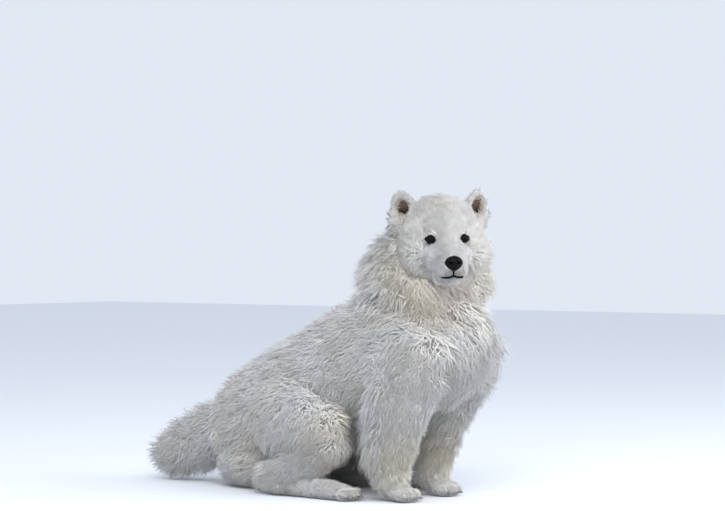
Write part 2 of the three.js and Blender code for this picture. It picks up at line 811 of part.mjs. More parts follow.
// Bib: locks that hang down the front of the chest
function bibLocks() {
  if (!COAT_FORMS) return [];
  const random = seededRandom(83);
  const locks = [];
  for (const [height, count, spread] of [
    [388, 3, 0.9],
    [326, 4, 0.95],
    [268, 2, 0.6],
  ]) {
    for (let i = 0; i < count; i++) {
      const turn = THREE.MathUtils.lerp(-spread, spread, (i + 0.5) / count) + (random() - 0.5) * 0.15;
      const radial = new THREE.Vector3(Math.cos(turn), Math.sin(turn), 0);
      const root = formReach(torsoForm, new THREE.Vector3(120, 0, height), radial);
      locks.push(
        looseLock({
          root,
          out: radial,
          lie: new THREE.Vector3(-0.1 + 0.1 * Math.cos(turn), 0.12 * Math.sin(turn), -1).normalize(),
          length: 102 * (0.9 + 0.2 * random()),
          width: 98,
          depth: 15,
        }),
      );
    }
  }
  return locks;
}

// Assembly: each node is the union of its pieces, cut clear of the nodes that lie over it
const union = (pieces) => Manifold.union(pieces);
const nodes = [];
function addNode(name, shape, colour, roughness) {
  nodes.push({ name, shape, colour, roughness });
}
const sides = [
  ["left", 1],
  ["right", -1],
];
const lift = (reach) => (COAT_FORMS ? 0 : reach);

// Parting planes: the back and the underside of the head, and the base of the neck
const NAPE = -40;
const headPlanes = [
  [inHead(NAPE, 0, 0), wayInHead(1, 0, 0)],
  [inHead(NAPE, 0, -56), wayInHead(0.4, 0, 1)],
];
const neckPlane = [new THREE.Vector3(110, 0, 436), new THREE.Vector3(0.3, 0, 0.954).normalize()];
const trimmed = (shape, [point, way], inset) => shape.trimByPlane(way.toArray(), way.dot(point) + inset);
const inFront = (shape, inset) => headPlanes.reduce((left, plane) => trimmed(left, plane, inset), shape);
const headBlock = (() => {
  const block = new THREE.BoxGeometry(360, 190, 400).translate(140, 0, 0).applyMatrix4(headFrame);
  return inFront(solid(block), 0);
})();

const headCore = headSkin(24, 26).applyMatrix4(headFrame);
const headRim = solid(grown(headCore, GAP));
const earRoom = [];
for (const [name, side] of sides) {
  const { shell, cup } = earForms(side);
  const outer = shell.geometry(9, 12).applyMatrix4(headFrame);
  const scoop = solid(cup.geometry(6, 9).applyMatrix4(headFrame));
  addNode("ear_" + name, largest(solid(outer).subtract(scoop).subtract(headRim)), EAR_TAN, 0.85);
  earRoom.push(solid(grown(outer, GAP)));
}

const eyeBall = (side, growth) => {
  const p = eyeCentre(side);
  const shape = new THREE.SphereGeometry(EYE_RADIUS + growth, 12, 8);
  return solid(shape.rotateZ(Math.PI / 2).translate(p.x, p.y, p.z).applyMatrix4(headFrame));
};
const ruff = ruffLocks();
const rims = [1, -1].map((side) => solid(lidRim(side).applyMatrix4(headFrame)));
const headCuts = [eyeBall(1, GAP), eyeBall(-1, GAP), noseSolid(GAP), solid(mouthTube(slitProfile, 10))];
const head = inFront(union([solid(headCore), ...rims, solid(mouthTube(lipProfile, 10))]), GAP);
addNode("head", largest(head.subtract(union(headCuts))), CREAM, 0.85);
addNode("eye_left", eyeBall(1, 0), EYE_BROWN, 0.08);
addNode("eye_right", eyeBall(-1, 0), EYE_BROWN, 0.08);
const nostrils = union([nostril(1), nostril(-1), philtrum()]);
addNode("nose", largest(noseSolid().subtract(nostrils)), NOSE_BLACK, 0.45);

const roomOf = (geometries, locks) =>
  union([...geometries.map((g) => solid(grown(g, GAP))), ...locks.map((g) => solid(g.userData.room))]);
const headRoom = union([inFront(headRim, -0.1), ...earRoom]);
// Where a twisted lock still reaches into a piece, its neighbour cuts it too, moved a little towards it.
function clearOf(shape, room, neighbour, way) {
  const cut = shape.subtract(room);
  if (cut.intersect(neighbour).volume() < 0.002) return cut;
  return cut.subtract(neighbour).subtract(neighbour.translate(way));
}

const neckCore = neckForm.geometry(12, 20, lift(MANE_REACH), 0);
const maneLocks = [...neckLocks, ...ruff];
const neckStump = trimmed(solid(neckCore), neckPlane, GAP / 2).subtract(headBlock);
const neck = largest(union([neckStump, ...maneLocks.map(solid)]).subtract(headRoom));
addNode("neck", neck, CREAM, 0.9);
const neckRoom = union([
  trimmed(solid(grown(neckCore, GAP)), neckPlane, 0),
  ...maneLocks.map((g) => solid(g.userData.room)),
]);

const torsoCore = torsoForm.geometry(18, 22, lift(BODY_REACH));
const seatCore = seatForm.geometry(7, 12);
const chestUp = [neckPlane[0], neckPlane[1].clone().negate()];
const flankLocks = [...torsoLocks, ...bibLocks()];
const barrel = trimmed(solid(torsoCore), chestUp, GAP / 2);
const torsoWhole = onFloor(union([barrel, solid(seatCore), ...flankLocks.map(solid)]));
const torso = largest(clearOf(torsoWhole, neckRoom, neck, [0, 0, -GAP]));
addNode("torso", torso, CREAM, 0.9);
const torsoRoom = roomOf([torsoCore, seatCore], flankLocks);

const tailCore = tailForm.geometry(11, 14, lift(TAIL_REACH));
const tailWhole = onFloor(union([solid(tailCore), ...tailLocks.map(solid)]));
const tail = clearOf(tailWhole, torsoRoom, torso, [-GAP, 0, 0]);
addNode("tail", largest(tail), CREAM, 0.9);

for (const [name, side] of sides) {
  const legCore = forelegs[name].geometry(12, 12, lift(LEG_REACH * 0.7));
  const legLocks = forelegLocks(side, forelegs[name]);
  const { pad, toes } = forepaw(side);
  const pawPieces = [ellipsoid(pad, 9, 6), ...toes.map((toe) => ellipsoid(toe, 6, 5))];
  const pawRoom = union(pawPieces.map((g) => solid(grown(g, GAP))));
  const legWhole = onFloor(union([solid(legCore), ...legLocks.map(solid)])).subtract(pawRoom);
  const legUnderNeck = clearOf(legWhole, neckRoom, neck, [0, 0, -GAP]);
  const leg = largest(clearOf(legUnderNeck, torsoRoom, torso, [0, GAP * side, 0]));
  addNode("foreleg_" + name, leg, WARM_CREAM, 0.9);
  const pawShape = onFloor(union([...pawPieces, ...toes.map(claw)].map(solid)));
  addNode("forepaw_" + name, largest(pawShape), WARM_CREAM, 0.85);

  const { foot, toes: hindToes } = hindfoot(side);
  const footPieces = [foot.geometry(7, 8), ...hindToes.map((toe) => ellipsoid(toe, 6, 5))];
  const footRoom = union(footPieces.map((g) => solid(grown(g, GAP))));
  const thighCore = thighs[name].geometry(10, 14, lift(LEG_REACH));
  const shankCore = shanks[name].geometry(8, 10);
  const locks = thighLocks(side, thighs[name]);
  const hindWhole = onFloor(union([solid(thighCore), solid(shankCore), ...locks.map(solid)])).subtract(footRoom);
  const hindByLeg = clearOf(hindWhole, roomOf([legCore], legLocks), leg, [-GAP, 0, 0]);
  const hind = clearOf(hindByLeg, torsoRoom, torso, [0, GAP * side, 0]);
  addNode("hindleg_" + name, largest(hind), CREAM, 0.9);
  const footShape = onFloor(union([...footPieces, ...hindToes.map(claw)].map(solid))).subtract(torsoRoom);
  addNode("hindpaw_" + name, largest(footShape), WARM_CREAM, 0.85);
}

// The origin is the middle of the dog's outline on the floor.
const outline = new THREE.Box3();
const dog = new THREE.Group();
for (const { name, shape, colour, roughness } of nodes) {
  const mesh = new THREE.Mesh(
    geometryOf(shape),
    new THREE.MeshStandardMaterial({ color: colour, roughness, metalness: 0 }),
  );
  mesh.name = name;
  mesh.geometry.computeBoundingBox();
  outline.union(mesh.geometry.boundingBox);
  dog.add(mesh);
}
const middle = outline.getCenter(new THREE.Vector3());
dog.position.set(-middle.x, -middle.y, -outline.min.z);

export default dog;
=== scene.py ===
import math

import bmesh
import bpy
import numpy as np
from mathutils import Matrix, Vector
from mathutils.kdtree import KDTree


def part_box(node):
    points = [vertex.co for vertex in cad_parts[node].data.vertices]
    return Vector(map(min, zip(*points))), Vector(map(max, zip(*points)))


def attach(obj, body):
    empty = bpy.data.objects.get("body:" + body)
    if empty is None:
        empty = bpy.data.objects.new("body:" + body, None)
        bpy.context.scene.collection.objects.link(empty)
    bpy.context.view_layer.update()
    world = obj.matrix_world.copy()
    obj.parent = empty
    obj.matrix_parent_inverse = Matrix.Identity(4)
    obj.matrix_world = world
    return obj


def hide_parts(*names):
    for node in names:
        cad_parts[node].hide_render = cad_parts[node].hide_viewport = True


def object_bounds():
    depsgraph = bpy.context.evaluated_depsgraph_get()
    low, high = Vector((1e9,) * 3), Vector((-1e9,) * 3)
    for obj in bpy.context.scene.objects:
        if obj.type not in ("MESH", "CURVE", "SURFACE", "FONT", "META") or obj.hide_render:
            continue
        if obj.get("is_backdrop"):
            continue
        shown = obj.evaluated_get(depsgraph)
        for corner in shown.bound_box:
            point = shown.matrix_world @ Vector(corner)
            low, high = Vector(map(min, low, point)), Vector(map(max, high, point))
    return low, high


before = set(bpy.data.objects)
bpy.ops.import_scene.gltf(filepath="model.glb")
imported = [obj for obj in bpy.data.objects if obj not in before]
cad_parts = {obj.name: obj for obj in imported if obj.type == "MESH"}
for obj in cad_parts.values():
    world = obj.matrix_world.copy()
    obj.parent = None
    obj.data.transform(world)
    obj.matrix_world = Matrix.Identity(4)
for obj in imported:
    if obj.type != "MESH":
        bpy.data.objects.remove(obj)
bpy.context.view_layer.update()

# The hide: one skin over the whole dog, drawn over its muscle and bone with no seam.
# It lies under the coat by the coat's own depth, and shows only in the ears, at the eyes and on the lips.
# Every place is in millimetres from the dog's own zero on the floor, which the left eye's place sets.
MM = 0.001
eye_low, eye_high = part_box("eye_left")
dog_zero = (eye_low + eye_high) / 2 - Vector((0.27918, -0.06302, 0.58120))
to_row = Matrix.Translation(dog_zero) @ Matrix.Scale(MM, 4)
head_place = (
    Matrix.Translation((216, -51, 582))
    @ Matrix.Rotation(math.radians(-44.5), 4, "Z")
    @ Matrix.Rotation(math.radians(7), 4, "Y")
    @ Matrix.Rotation(math.radians(1.5), 4, "X")
)

# Each form is a row of (x, y, z, half breadth across, half breadth through) along its middle,
# with how deep the skin lies under it, the coat's depth, how far the hairs lie over, and gravity's pull.
torso = [
    (214, 0, 352, 96, 104),
    (150, 0, 346, 130, 134),
    (60, 0, 330, 136, 136),
    (-40, 0, 294, 130, 130),
    (-140, 0, 246, 128, 126),
    (-230, 0, 200, 134, 128),
    (-316, 0, 160, 122, 120),
    (-374, 0, 134, 92, 94),
]
neck = [
    (176, -18, 640, 84, 68),
    (168, -17, 610, 100, 90),
    (160, -16, 584, 108, 104),
    (143, -15, 528, 118, 116),
    (126, -8, 470, 129, 130),
    (110, -2, 410, 128, 128),
    (98, 0, 350, 122, 120),
]
tail = [
    (-396, 0, 150, 58, 62),
    (-470, -2, 122, 58, 66),
    (-531, -6, 96, 54, 62),
    (-580, -12, 76, 47, 50),
    (-612, -17, 64, 41, 42),
]
seat = [(-250, 0, 66, 92, 70), (-310, 0, 66, 108, 70), (-366, 0, 62, 86, 64)]
limbs = [
    # keys, under, coat, lie, gravity, strand width, region
    (torso, 28, 54, 38, 0.9, 3.6, "body"),
    (seat, 20, 36, 40, 1.2, 3.4, "body"),
    (neck, 42, 76, 44, 0.55, 3.6, "mane"),
    (tail, 36, 56, 62, 0.25, 3.6, "tail"),
]
for side in (1, -1):
    foreleg = [
        (192, 100 * side, 360, 34, 62),
        (168, 100 * side, 300, 42, 66),
        (142, 94 * side, 236, 40, 56),
        (118, 86 * side, 160, 33, 40),
        (100, 80 * side, 92, 30, 34),
        (92, 78 * side, 50, 28, 30),
    ]
    thigh = [
        (-42, 126 * side, 141, 40, 58),
        (-90, 122 * side, 154, 50, 76),
        (-160, 108 * side, 170, 60, 86),
        (-232, 84 * side, 186, 58, 76),
    ]
    shank = [
        (-36, 128 * side, 128, 40, 44),
        (-100, 130 * side, 84, 38, 42),
        (-168, 128 * side, 46, 32, 38),
        (-214, 126 * side, 36, 27, 31),
    ]
    forepaw = [(88, 78 * side, 30, 28, 24), (116, 78 * side, 25, 31, 21), (132, 78 * side, 20, 29, 14)]
    hindfoot = [
        (-196, 128 * side, 24, 24, 22),
        (-110, 130 * side, 23, 26, 21),
        (-40, 133 * side, 22, 30, 20),
        (8, 134 * side, 18, 28, 15),
    ]
    limbs += [
        (foreleg, 12, 34, 32, 0.3, 3.0, "legs"),
        (thigh, 20, 40, 34, 0.9, 3.4, "thighs"),
        (shank, 14, 26, 34, 0.3, 2.8, "legs"),
        (forepaw, 5, 8, 15, 0, 1.9, "paws"),
        (hindfoot, 6, 10, 18, 0, 2.1, "paws"),
    ]
    for x, y, size in ((141, -24, 0.94), (149, -8, 1.06), (148, 9, 1.06), (140, 25, 0.94)):
        y = (78 + y) * side
        toe = [(x - 20, y, 19, 13 * size, 13 * size), (x + 8, y, 15, 12 * size, 11 * size)]
        limbs.append((toe, 3, 4, 8, 0, 1.4, "paws"))
    for x, y, size in ((20, -22, 0.94), (29, -8, 1.04), (28, 8, 1.04), (19, 22, 0.94)):
        y = (134 + y) * side
        toe = [(x - 20, y, 17, 12 * size, 12 * size), (x + 8, y, 14, 11 * size, 10 * size)]
        limbs.append((toe, 3, 4, 8, 0, 1.4, "paws"))

flesh = bmesh.new()


def add_to_flesh(form):
    """Joins a form to the flesh that the skin is drawn over."""
    piece = bpy.data.meshes.new("form")
    form.to_mesh(piece)
    form.free()
    flesh.from_mesh(piece)
    bpy.data.meshes.remove(piece)


# Each guide is a place inside a form, from which the coat over that form takes its lie and its length.
BALL_SPACING = 12
THIGH_FLOW = Vector((-0.3, 0, -0.95))
guides = []
for keys, under, coat, lie, gravity, width, region in limbs:
    form = bmesh.new()
    for start, end in zip(keys, keys[1:]):
        a, b = Vector(start[:3]), Vector(end[:3])
        along = (b - a).normalized()
        across = (Vector((0, 1, 0)) - along * along.y).normalized()
        through = along.cross(across)
        turn = Matrix((along, across, through)).transposed().to_4x4()
        steps = max(2, round((b - a).length / BALL_SPACING))
        for step in range(steps + 1):
            share = step / steps
            wide = start[3] + (end[3] - start[3]) * share - under
            thick = start[4] + (end[4] - start[4]) * share - under
            middle = a.lerp(b, share)
            size = Matrix.Diagonal((min(wide, thick) * 0.8, wide, thick, 1))
            place = Matrix.Translation(middle) @ turn @ size
            bmesh.ops.create_uvsphere(form, u_segments=14, v_segments=9, radius=1, matrix=place)
            if step % 2 == 0:
                flow = THIGH_FLOW if region == "thighs" else along
                guides.append((middle, along, (wide + thick) / 2, coat, lie, gravity, width, region, flow))
    add_to_flesh(form)

# The head: skull, brow, cheeks and muzzle, each a ball in the head's own frame.
# A row is a place, three half sizes, how deep the skin lies, the coat's depth, how far it lies over,
# and the strand's width.
STILL = Vector((0, 0, 0))
head_balls = [
    (-20, 0, 24, 68, 74, 70, 11, 11, 17, 1.8),
    (32, 0, 26, 38, 52, 38, 9, 8, 13, 1.5),
    (8, 0, -56, 54, 54, 40, 18, 26, 30, 2.3),
    (-24, 0, -100, 44, 44, 36, 12, 40, 38, 2.8),
    (56, 0, 2, 34, 32, 28, 4, 3, 9, 1.25),
    (68, 0, -25, 44, 34, 29, 4, 3, 8, 1.2),
    (100, 0, -38, 34, 31, 27, 3.5, 2.5, 7, 1.1),
    (120, 0, -40, 15, 22, 20, 3, 2, 6, 1),
    (76, 0, -73, 42, 31, 20, 5, 6, 10, 1.4),
    (103, 0, -79, 18, 23, 14, 4, 5, 9, 1.3),
]
for side in (1, -1):
    head_balls += [
        (-32, 46 * side, 40, 38, 42, 46, 11, 12, 18, 1.9),
        (-36, 32 * side, 56, 34, 34, 36, 11, 12, 18, 1.9),
        (-42, 62 * side, -40, 44, 40, 50, 12, 36, 34, 2.6),
        (-38, 55 * side, -98, 46, 46, 52, 12, 38, 42, 2.7),
        (-34, 58 * side, 14, 36, 34, 40, 14, 18, 22, 2.1),
        (14, 49 * side, -32, 46, 42, 48, 19, 30, 38, 2.5),
        (-10, 55 * side, 2, 42, 34, 46, 13, 24, 32, 2.4),
        (52, 28 * side, -30, 36, 26, 30, 8, 11, 20, 1.8),
        (47, 31 * side, 11, 16, 18, 14, 3, 2.5, 7, 1.1),
        (92, 21 * side, -55, 33, 20, 22, 3.5, 2.8, 7, 1.1),
    ]
head_form = bmesh.new()
for x, y, z, rx, ry, rz, under, coat, lie, width in head_balls:
    size = Matrix.Diagonal((rx - under, ry - under, rz - under, 1))
    place = head_place @ Matrix.Translation((x, y, z)) @ size
    bmesh.ops.create_uvsphere(head_form, u_segments=20, v_segments=14, radius=1, matrix=place)
    middle = head_place @ Vector((x, y, z))
    guides.append((middle, STILL, (ry + rz) / 2, coat, lie, 0, width, "head", STILL))

# The ears stand up from the back of the skull: gristle under thin skin, thick at the root and rounded
# at the tip. Each row is a share of the ear's length, then half its breadth and half its thickness there.
EAR_LENGTH = 60
ears = {}
for side in (1, -1):
    base = Vector((-38, 78 * side, 38))
    up = Vector((-0.06, 0.12 * side, 0.95)).normalized()
    face = Vector((0.88, 0.46 * side, 0))
    face = (face - up * face.dot(up)).normalized()
    wide = face.cross(up).normalized()
    place = head_place @ Matrix.Translation(base) @ Matrix((wide, face, up)).transposed().to_4x4()
    ears[side] = place
    for share, across, through in (
        (-0.4, 28, 18),
        (-0.25, 30, 17),
        (-0.1, 31, 16),
        (0.02, 32, 16),
        (0.15, 33, 15),
        (0.3, 32.5, 14),
        (0.45, 31, 12.5),
        (0.6, 28, 11.5),
        (0.74, 23, 10),
        (0.84, 18, 8.5),
        (0.91, 12, 7),
    ):
        size = Matrix.Diagonal((across, through * 0.8, 7, 1))
        spot = place @ Matrix.Translation((0, 0, share * EAR_LENGTH)) @ size
        bmesh.ops.create_uvsphere(head_form, u_segments=20, v_segments=10, radius=1, matrix=spot)
add_to_flesh(head_form)

SKIN_GRAIN = 0.0041
flesh_mesh = bpy.data.meshes.new("flesh")
flesh.to_mesh(flesh_mesh)
flesh.free()
flesh_mesh.transform(to_row)
flesh_form = bpy.data.objects.new("flesh", flesh_mesh)
bpy.context.scene.collection.objects.link(flesh_form)
wrap = flesh_form.modifiers.new("wrap", "REMESH")
wrap.mode = "VOXEL"
wrap.voxel_size = SKIN_GRAIN
settle = flesh_form.modifiers.new("settle", "SMOOTH")
settle.factor = 0.5
settle.iterations = 7
skin_mesh = bpy.data.meshes.new_from_object(flesh_form.evaluated_get(bpy.context.evaluated_depsgraph_get()))
bpy.data.objects.remove(flesh_form)
skin_mesh.name = "skin"
skin = bpy.data.objects.new("skin", skin_mesh)
bpy.context.scene.collection.objects.link(skin)


def places_of(mesh):
    flat = np.empty(len(mesh.vertices) * 3, np.float32)
    mesh.vertices.foreach_get("co", flat)
    return flat.reshape(-1, 3)


def normals_of(mesh):
    flat = np.empty(len(mesh.vertices) * 3, np.float32)
    mesh.vertices.foreach_get("normal", flat)
    return flat.reshape(-1, 3)


def ramp(value, low, high):
    """An eased step, from 0 at low to 1 at high."""
    share = np.clip((value - low) / (high - low), 0, 1)
    return share * share * (3 - 2 * share)


def seen_from(place, places):
    """Places as they stand in the frame of the head, an ear or an eye."""
    back = np.array(place.inverted(), np.float32)
    return places @ back[:3, :3].T + back[:3, 3]


# The head is eased to one smooth form, except on the ears.
EASE_ROUNDS = 24
EASE_SHARE = 0.6
zero = np.array(dog_zero, np.float32)
skin_places = (places_of(skin_mesh) - zero) / MM
local = seen_from(head_place, skin_places)
ease = ramp(local[:, 0], -70, -30) * ramp(local[:, 2], -110, -90) * ramp(-local[:, 0], -128, -112)
for place in ears.values():
    spot = seen_from(place, skin_places)
    ease *= 1 - ramp(spot[:, 2], -14, 4) * (np.abs(spot[:, 0]) < 42)
ends = np.empty(len(skin_mesh.edges) * 2, np.int32)
skin_mesh.edges.foreach_get("vertices", ends)
ends = ends.reshape(-1, 2)
number = np.bincount(ends.ravel(), minlength=len(skin_places))[:, None]
for _ in range(EASE_ROUNDS):
    total = np.stack(
        [
            np.bincount(ends[:, 0], skin_places[ends[:, 1], axis], len(skin_places))
            + np.bincount(ends[:, 1], skin_places[ends[:, 0], axis], len(skin_places))
            for axis in range(3)
        ],
        axis=1,
    )
    skin_places += (total / number - skin_places) * (ease * EASE_SHARE)[:, None]
skin_mesh.vertices.foreach_set("co", (skin_places * MM + zero).astype(np.float32).ravel())
skin_mesh.update()
skin_normals = normals_of(skin_mesh)

# Each ear is scooped to a cup that faces forward, deepest low down.
# Each eye has its socket, open by the almond that the lids edge.
CUP_DEPTH = 14
CUP_HALF_WIDTH, CUP_HALF_HEIGHT, CUP_MIDDLE = 24, 30, 24
ear_depth = np.zeros(len(skin_places), np.float32)
for place in ears.values():
    ear_front = np.array(place, np.float32)[:3, 1]
    spot = seen_from(place, skin_places)
    facing = skin_normals @ ear_front
    reach = np.sqrt((spot[:, 0] / CUP_HALF_WIDTH) ** 2 + ((spot[:, 2] - CUP_MIDDLE) / CUP_HALF_HEIGHT) ** 2)
    cup = ramp(-reach, -1.0, -0.35) * (spot[:, 1] > -4) * (facing > 0.1) * (spot[:, 1] < 30)
    skin_places -= ear_front * (cup * CUP_DEPTH)[:, None]
    ear_depth += cup
SOCKET = 12.2
SOCKET_BACK = 9.4
eye_frames = {}
for side, node in ((1, "eye_left"), (-1, "eye_right")):
    low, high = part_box(node)
    middle = ((low + high) / 2 - dog_zero) / MM
    look = (head_place.to_3x3() @ Vector((0.95, 0.24 * side, 0.02))).normalized()
    lid_way = (head_place.to_3x3() @ Vector((0, -side, -0.14))).cross(look).normalized()
    lid_way = lid_way if lid_way.z > 0 else -lid_way
    aside = lid_way.cross(look).normalized()
    eye_frames[side] = Matrix.Translation(middle) @ Matrix((aside, lid_way, look)).transposed().to_4x4()
    out_of_eye = np.array(eye_frames[side], np.float32)
    spot = seen_from(eye_frames[side], skin_places)
    away = np.linalg.norm(spot, axis=1)
    opening = (spot[:, 0] / 11.5) ** 2 + (spot[:, 1] / 5) ** 2 < 1
    near = (spot[:, 2] > -3) & (away < 24)
    sunk = np.where(opening, np.minimum(away, SOCKET_BACK), np.maximum(away, SOCKET))
    spot = np.where(near[:, None], spot * (sunk / np.maximum(away, 1))[:, None], spot)
    skin_places = spot @ out_of_eye[:3, :3].T + out_of_eye[:3, 3]
eye_places = [np.array(place.translation, np.float32) for place in eye_frames.values()]
skin_mesh.vertices.foreach_set("co", (skin_places * MM + zero).astype(np.float32).ravel())
skin_mesh.update()

bpy.context.view_layer.objects.active = skin
skin.select_set(True)
bpy.ops.object.mode_set(mode="EDIT")
bpy.ops.mesh.select_all(action="SELECT")
bpy.ops.uv.smart_project(angle_limit=math.radians(66), island_margin=0.001)
bpy.ops.object.mode_set(mode="OBJECT")
skin_mesh.uv_layers[0].name = "OFBake"
skin_mesh.polygons.foreach_set("use_smooth", np.ones(len(skin_mesh.polygons), bool))

# The hide is pale pinkish grey under the coat and brown in the ears, where painted shade darkens it to near
# black low down in each cup, and black at the eyes.
hide_tint = np.ones((len(skin_places), 4), np.float32)
hide_tint[:, :3] = (0.72, 0.69, 0.66)
for place in ears.values():
    spot = seen_from(place, skin_places)
    inner = ramp(ear_depth, 0.02, 0.3)[:, None] * (np.abs(spot[:, :1]) < 30)
    # painted shade: the ear's skin goes near black where the cup is deep and low
    ear_cup_painted_shade = ramp(-spot[:, 2], -40, -14)[:, None] * ramp(ear_depth, 0.25, 0.8)[:, None]
    tone = np.array([0.12, 0.08, 0.06]) * (1 - ear_cup_painted_shade) + np.array([0.008, 0.006, 0.005]) * ear_cup_painted_shade
    hide_tint[:, :3] = hide_tint[:, :3] * (1 - inner) + tone * inner
for place in eye_frames.values():
    spot = seen_from(place, skin_places)
    rim = ramp(-((spot[:, 0] / 18) ** 2) - (spot[:, 1] / 9.4) ** 2, -1.3, -1)[:, None] * (spot[:, 2:] > -8)
    hide_tint[:, :3] = hide_tint[:, :3] * (1 - rim) + np.array([0.03, 0.024, 0.022]) * rim
skin_mesh.color_attributes.new("tint", "FLOAT_COLOR", "POINT").data.foreach_set("color", hide_tint.ravel())


def tinted_finish(name, roughness, specular):
    """A finish that takes its colour from the piece's own tint."""
    finish = bpy.data.materials.new(name)
    finish.use_nodes = True
    shader = finish.node_tree.nodes["Principled BSDF"]
    shader.inputs["Roughness"].default_value = roughness
    shader.inputs["Specular IOR Level"].default_value = specular
    reader = finish.node_tree.nodes.new("ShaderNodeAttribute")
    reader.attribute_name = "tint"
    finish.node_tree.links.new(reader.outputs["Color"], shader.inputs["Base Color"])
    return finish


skin_mesh.materials.append(tinted_finish("hide", 0.8, 0.05))

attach(skin, "root")
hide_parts(*[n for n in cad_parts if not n.startswith("eye") and n != "nose"])


def add_piece(name, form, finish, node, tints=None):
    """Finishes a small piece that was formed in the dog's own millimetres."""
    mesh = bpy.data.meshes.new(name)
    form.to_mesh(mesh)
    form.free()
    mesh.transform(to_row)
    mesh.polygons.foreach_set("use_smooth", np.ones(len(mesh.polygons), bool))
    if tints is not None:
        mesh.color_attributes.new("tint", "FLOAT_COLOR", "POINT").data.foreach_set("color", tints.ravel())
    mesh.materials.append(finish)
    piece = bpy.data.objects.new(name, mesh)
    bpy.context.scene.collection.objects.link(piece)
    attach(piece, "root")
    if node:
        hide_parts(node)


# The eyes: wet dark brown balls, with a black pupil in a narrow brown ring.
# Each is sunk in its socket and looks a little outwards.
EYE_RADIUS, IRIS_RADIUS, PUPIL_RADIUS, CORNEA_RISE = 11.2, 7.2, 3.0, 0.9
eye_finish = tinted_finish("eye", 0.08, 0.07)
for side, node in ((1, "eye_left"), (-1, "eye_right")):
    form = bmesh.new()
    bmesh.ops.create_uvsphere(form, u_segments=36, v_segments=30, radius=EYE_RADIUS)
    tints = np.ones((len(form.verts), 4), np.float32)
    for i, vert in enumerate(form.verts):
        out = math.hypot(vert.co.x, vert.co.y) if vert.co.z > 0 else 20
        if out < PUPIL_RADIUS:
            tints[i, :3] = (0.003, 0.002, 0.002)
        elif out < IRIS_RADIUS:
            tints[i, :3] = (0.009, 0.004, 0.002)
        else:
            tints[i, :3] = (0.006, 0.004, 0.004)
        if out < IRIS_RADIUS:
            vert.co.z += CORNEA_RISE * (1 - (out / IRIS_RADIUS) ** 2)
    bmesh.ops.transform(form, matrix=eye_frames[side], verts=form.verts)
    add_piece("ball_of_" + node, form, eye_finish, node, tints)

# The eyelids: the black bare edge of the skin round each eye, a soft almond ring.
# It grows from the skin and rests on the ball, with its outer corner a little higher.
LID_HALF_WIDTH, UPPER_LID, LOWER_LID, LID_RADIUS = 12.4, 5.3, 4.9, 11.6
black_skin = bpy.data.materials.new("black skin")
black_skin.use_nodes = True
shader = black_skin.node_tree.nodes["Principled BSDF"]
shader.inputs["Base Color"].default_value = (0.006, 0.005, 0.005, 1)
shader.inputs["Roughness"].default_value = 0.5
shader.inputs["Specular IOR Level"].default_value = 0.06
for side, node in ((1, "left"), (-1, "right")):
    form = bmesh.new()
    start = Matrix.Translation((10, 0, 0)) @ Matrix.Rotation(math.pi / 2, 4, "X")
    bmesh.ops.create_circle(form, segments=10, radius=1, matrix=start)
    around = form.verts[:] + form.edges[:]
    bmesh.ops.spin(
        form, geom=around, axis=(0, 0, 1), cent=(0, 0, 0), steps=40, angle=math.tau, use_merge=True
    )
    bmesh.ops.remove_doubles(form, verts=form.verts, dist=0.001)
    bmesh.ops.recalc_face_normals(form, faces=form.faces)
    for vert in form.verts:
        turn = math.atan2(vert.co.y, vert.co.x)
        out = math.hypot(vert.co.x, vert.co.y) - 10
        half_height = UPPER_LID if math.sin(turn) > 0 else LOWER_LID
        a = LID_HALF_WIDTH * math.cos(turn)
        b = half_height * math.sin(turn) * (1 - 0.3 * math.cos(turn) ** 4)
        forward = math.sqrt(max(4, LID_RADIUS**2 - a * a - b * b))
        thick = 2.4 + 0.3 * math.sin(turn)
        vert.co = Vector((a, b, forward)) + Vector((math.cos(turn), math.sin(turn), 0)) * out * thick
        vert.co.z += (0.3 - out * 0.6) * thick
    bmesh.ops.transform(form, matrix=eye_frames[side], verts=form.verts)
    add_piece("lids_" + node, form, black_skin, None)

# The nose: a pad of bare black leather at the end of the muzzle, grown with the skin.
# Its nostrils are commas that open to the sides, and a groove runs down its middle to the lip.
nose_leather = bpy.data.materials.new("nose leather")
nose_leather.use_nodes = True
nodes, links = nose_leather.node_tree.nodes, nose_leather.node_tree.links
shader = nodes["Principled BSDF"]
shader.inputs["Base Color"].default_value = (0.003, 0.0026, 0.003, 1)
shader.inputs["Roughness"].default_value = 0.36
shader.inputs["Specular IOR Level"].default_value = 0.07
places = nodes.new("ShaderNodeTexCoord")
pebbles = nodes.new("ShaderNodeTexVoronoi")
pebbles.inputs["Scale"].default_value = 900
links.new(places.outputs["Object"], pebbles.inputs["Vector"])
bump = nodes.new("ShaderNodeBump")
bump.inputs["Strength"].default_value = 0.35
bump.inputs["Distance"].default_value = 0.0004
links.new(pebbles.outputs["Distance"], bump.inputs["Height"])
links.new(bump.outputs["Normal"], shader.inputs["Normal"])
PAD_DEPTH, PAD_HALF_WIDTH, PAD_ABOVE, PAD_BELOW = 13, 20, 15.5, 18
form = bmesh.new()
lying = Matrix.Rotation(math.pi / 2, 4, "Y")
bmesh.ops.create_uvsphere(form, u_segments=64, v_segments=44, radius=1, matrix=lying)
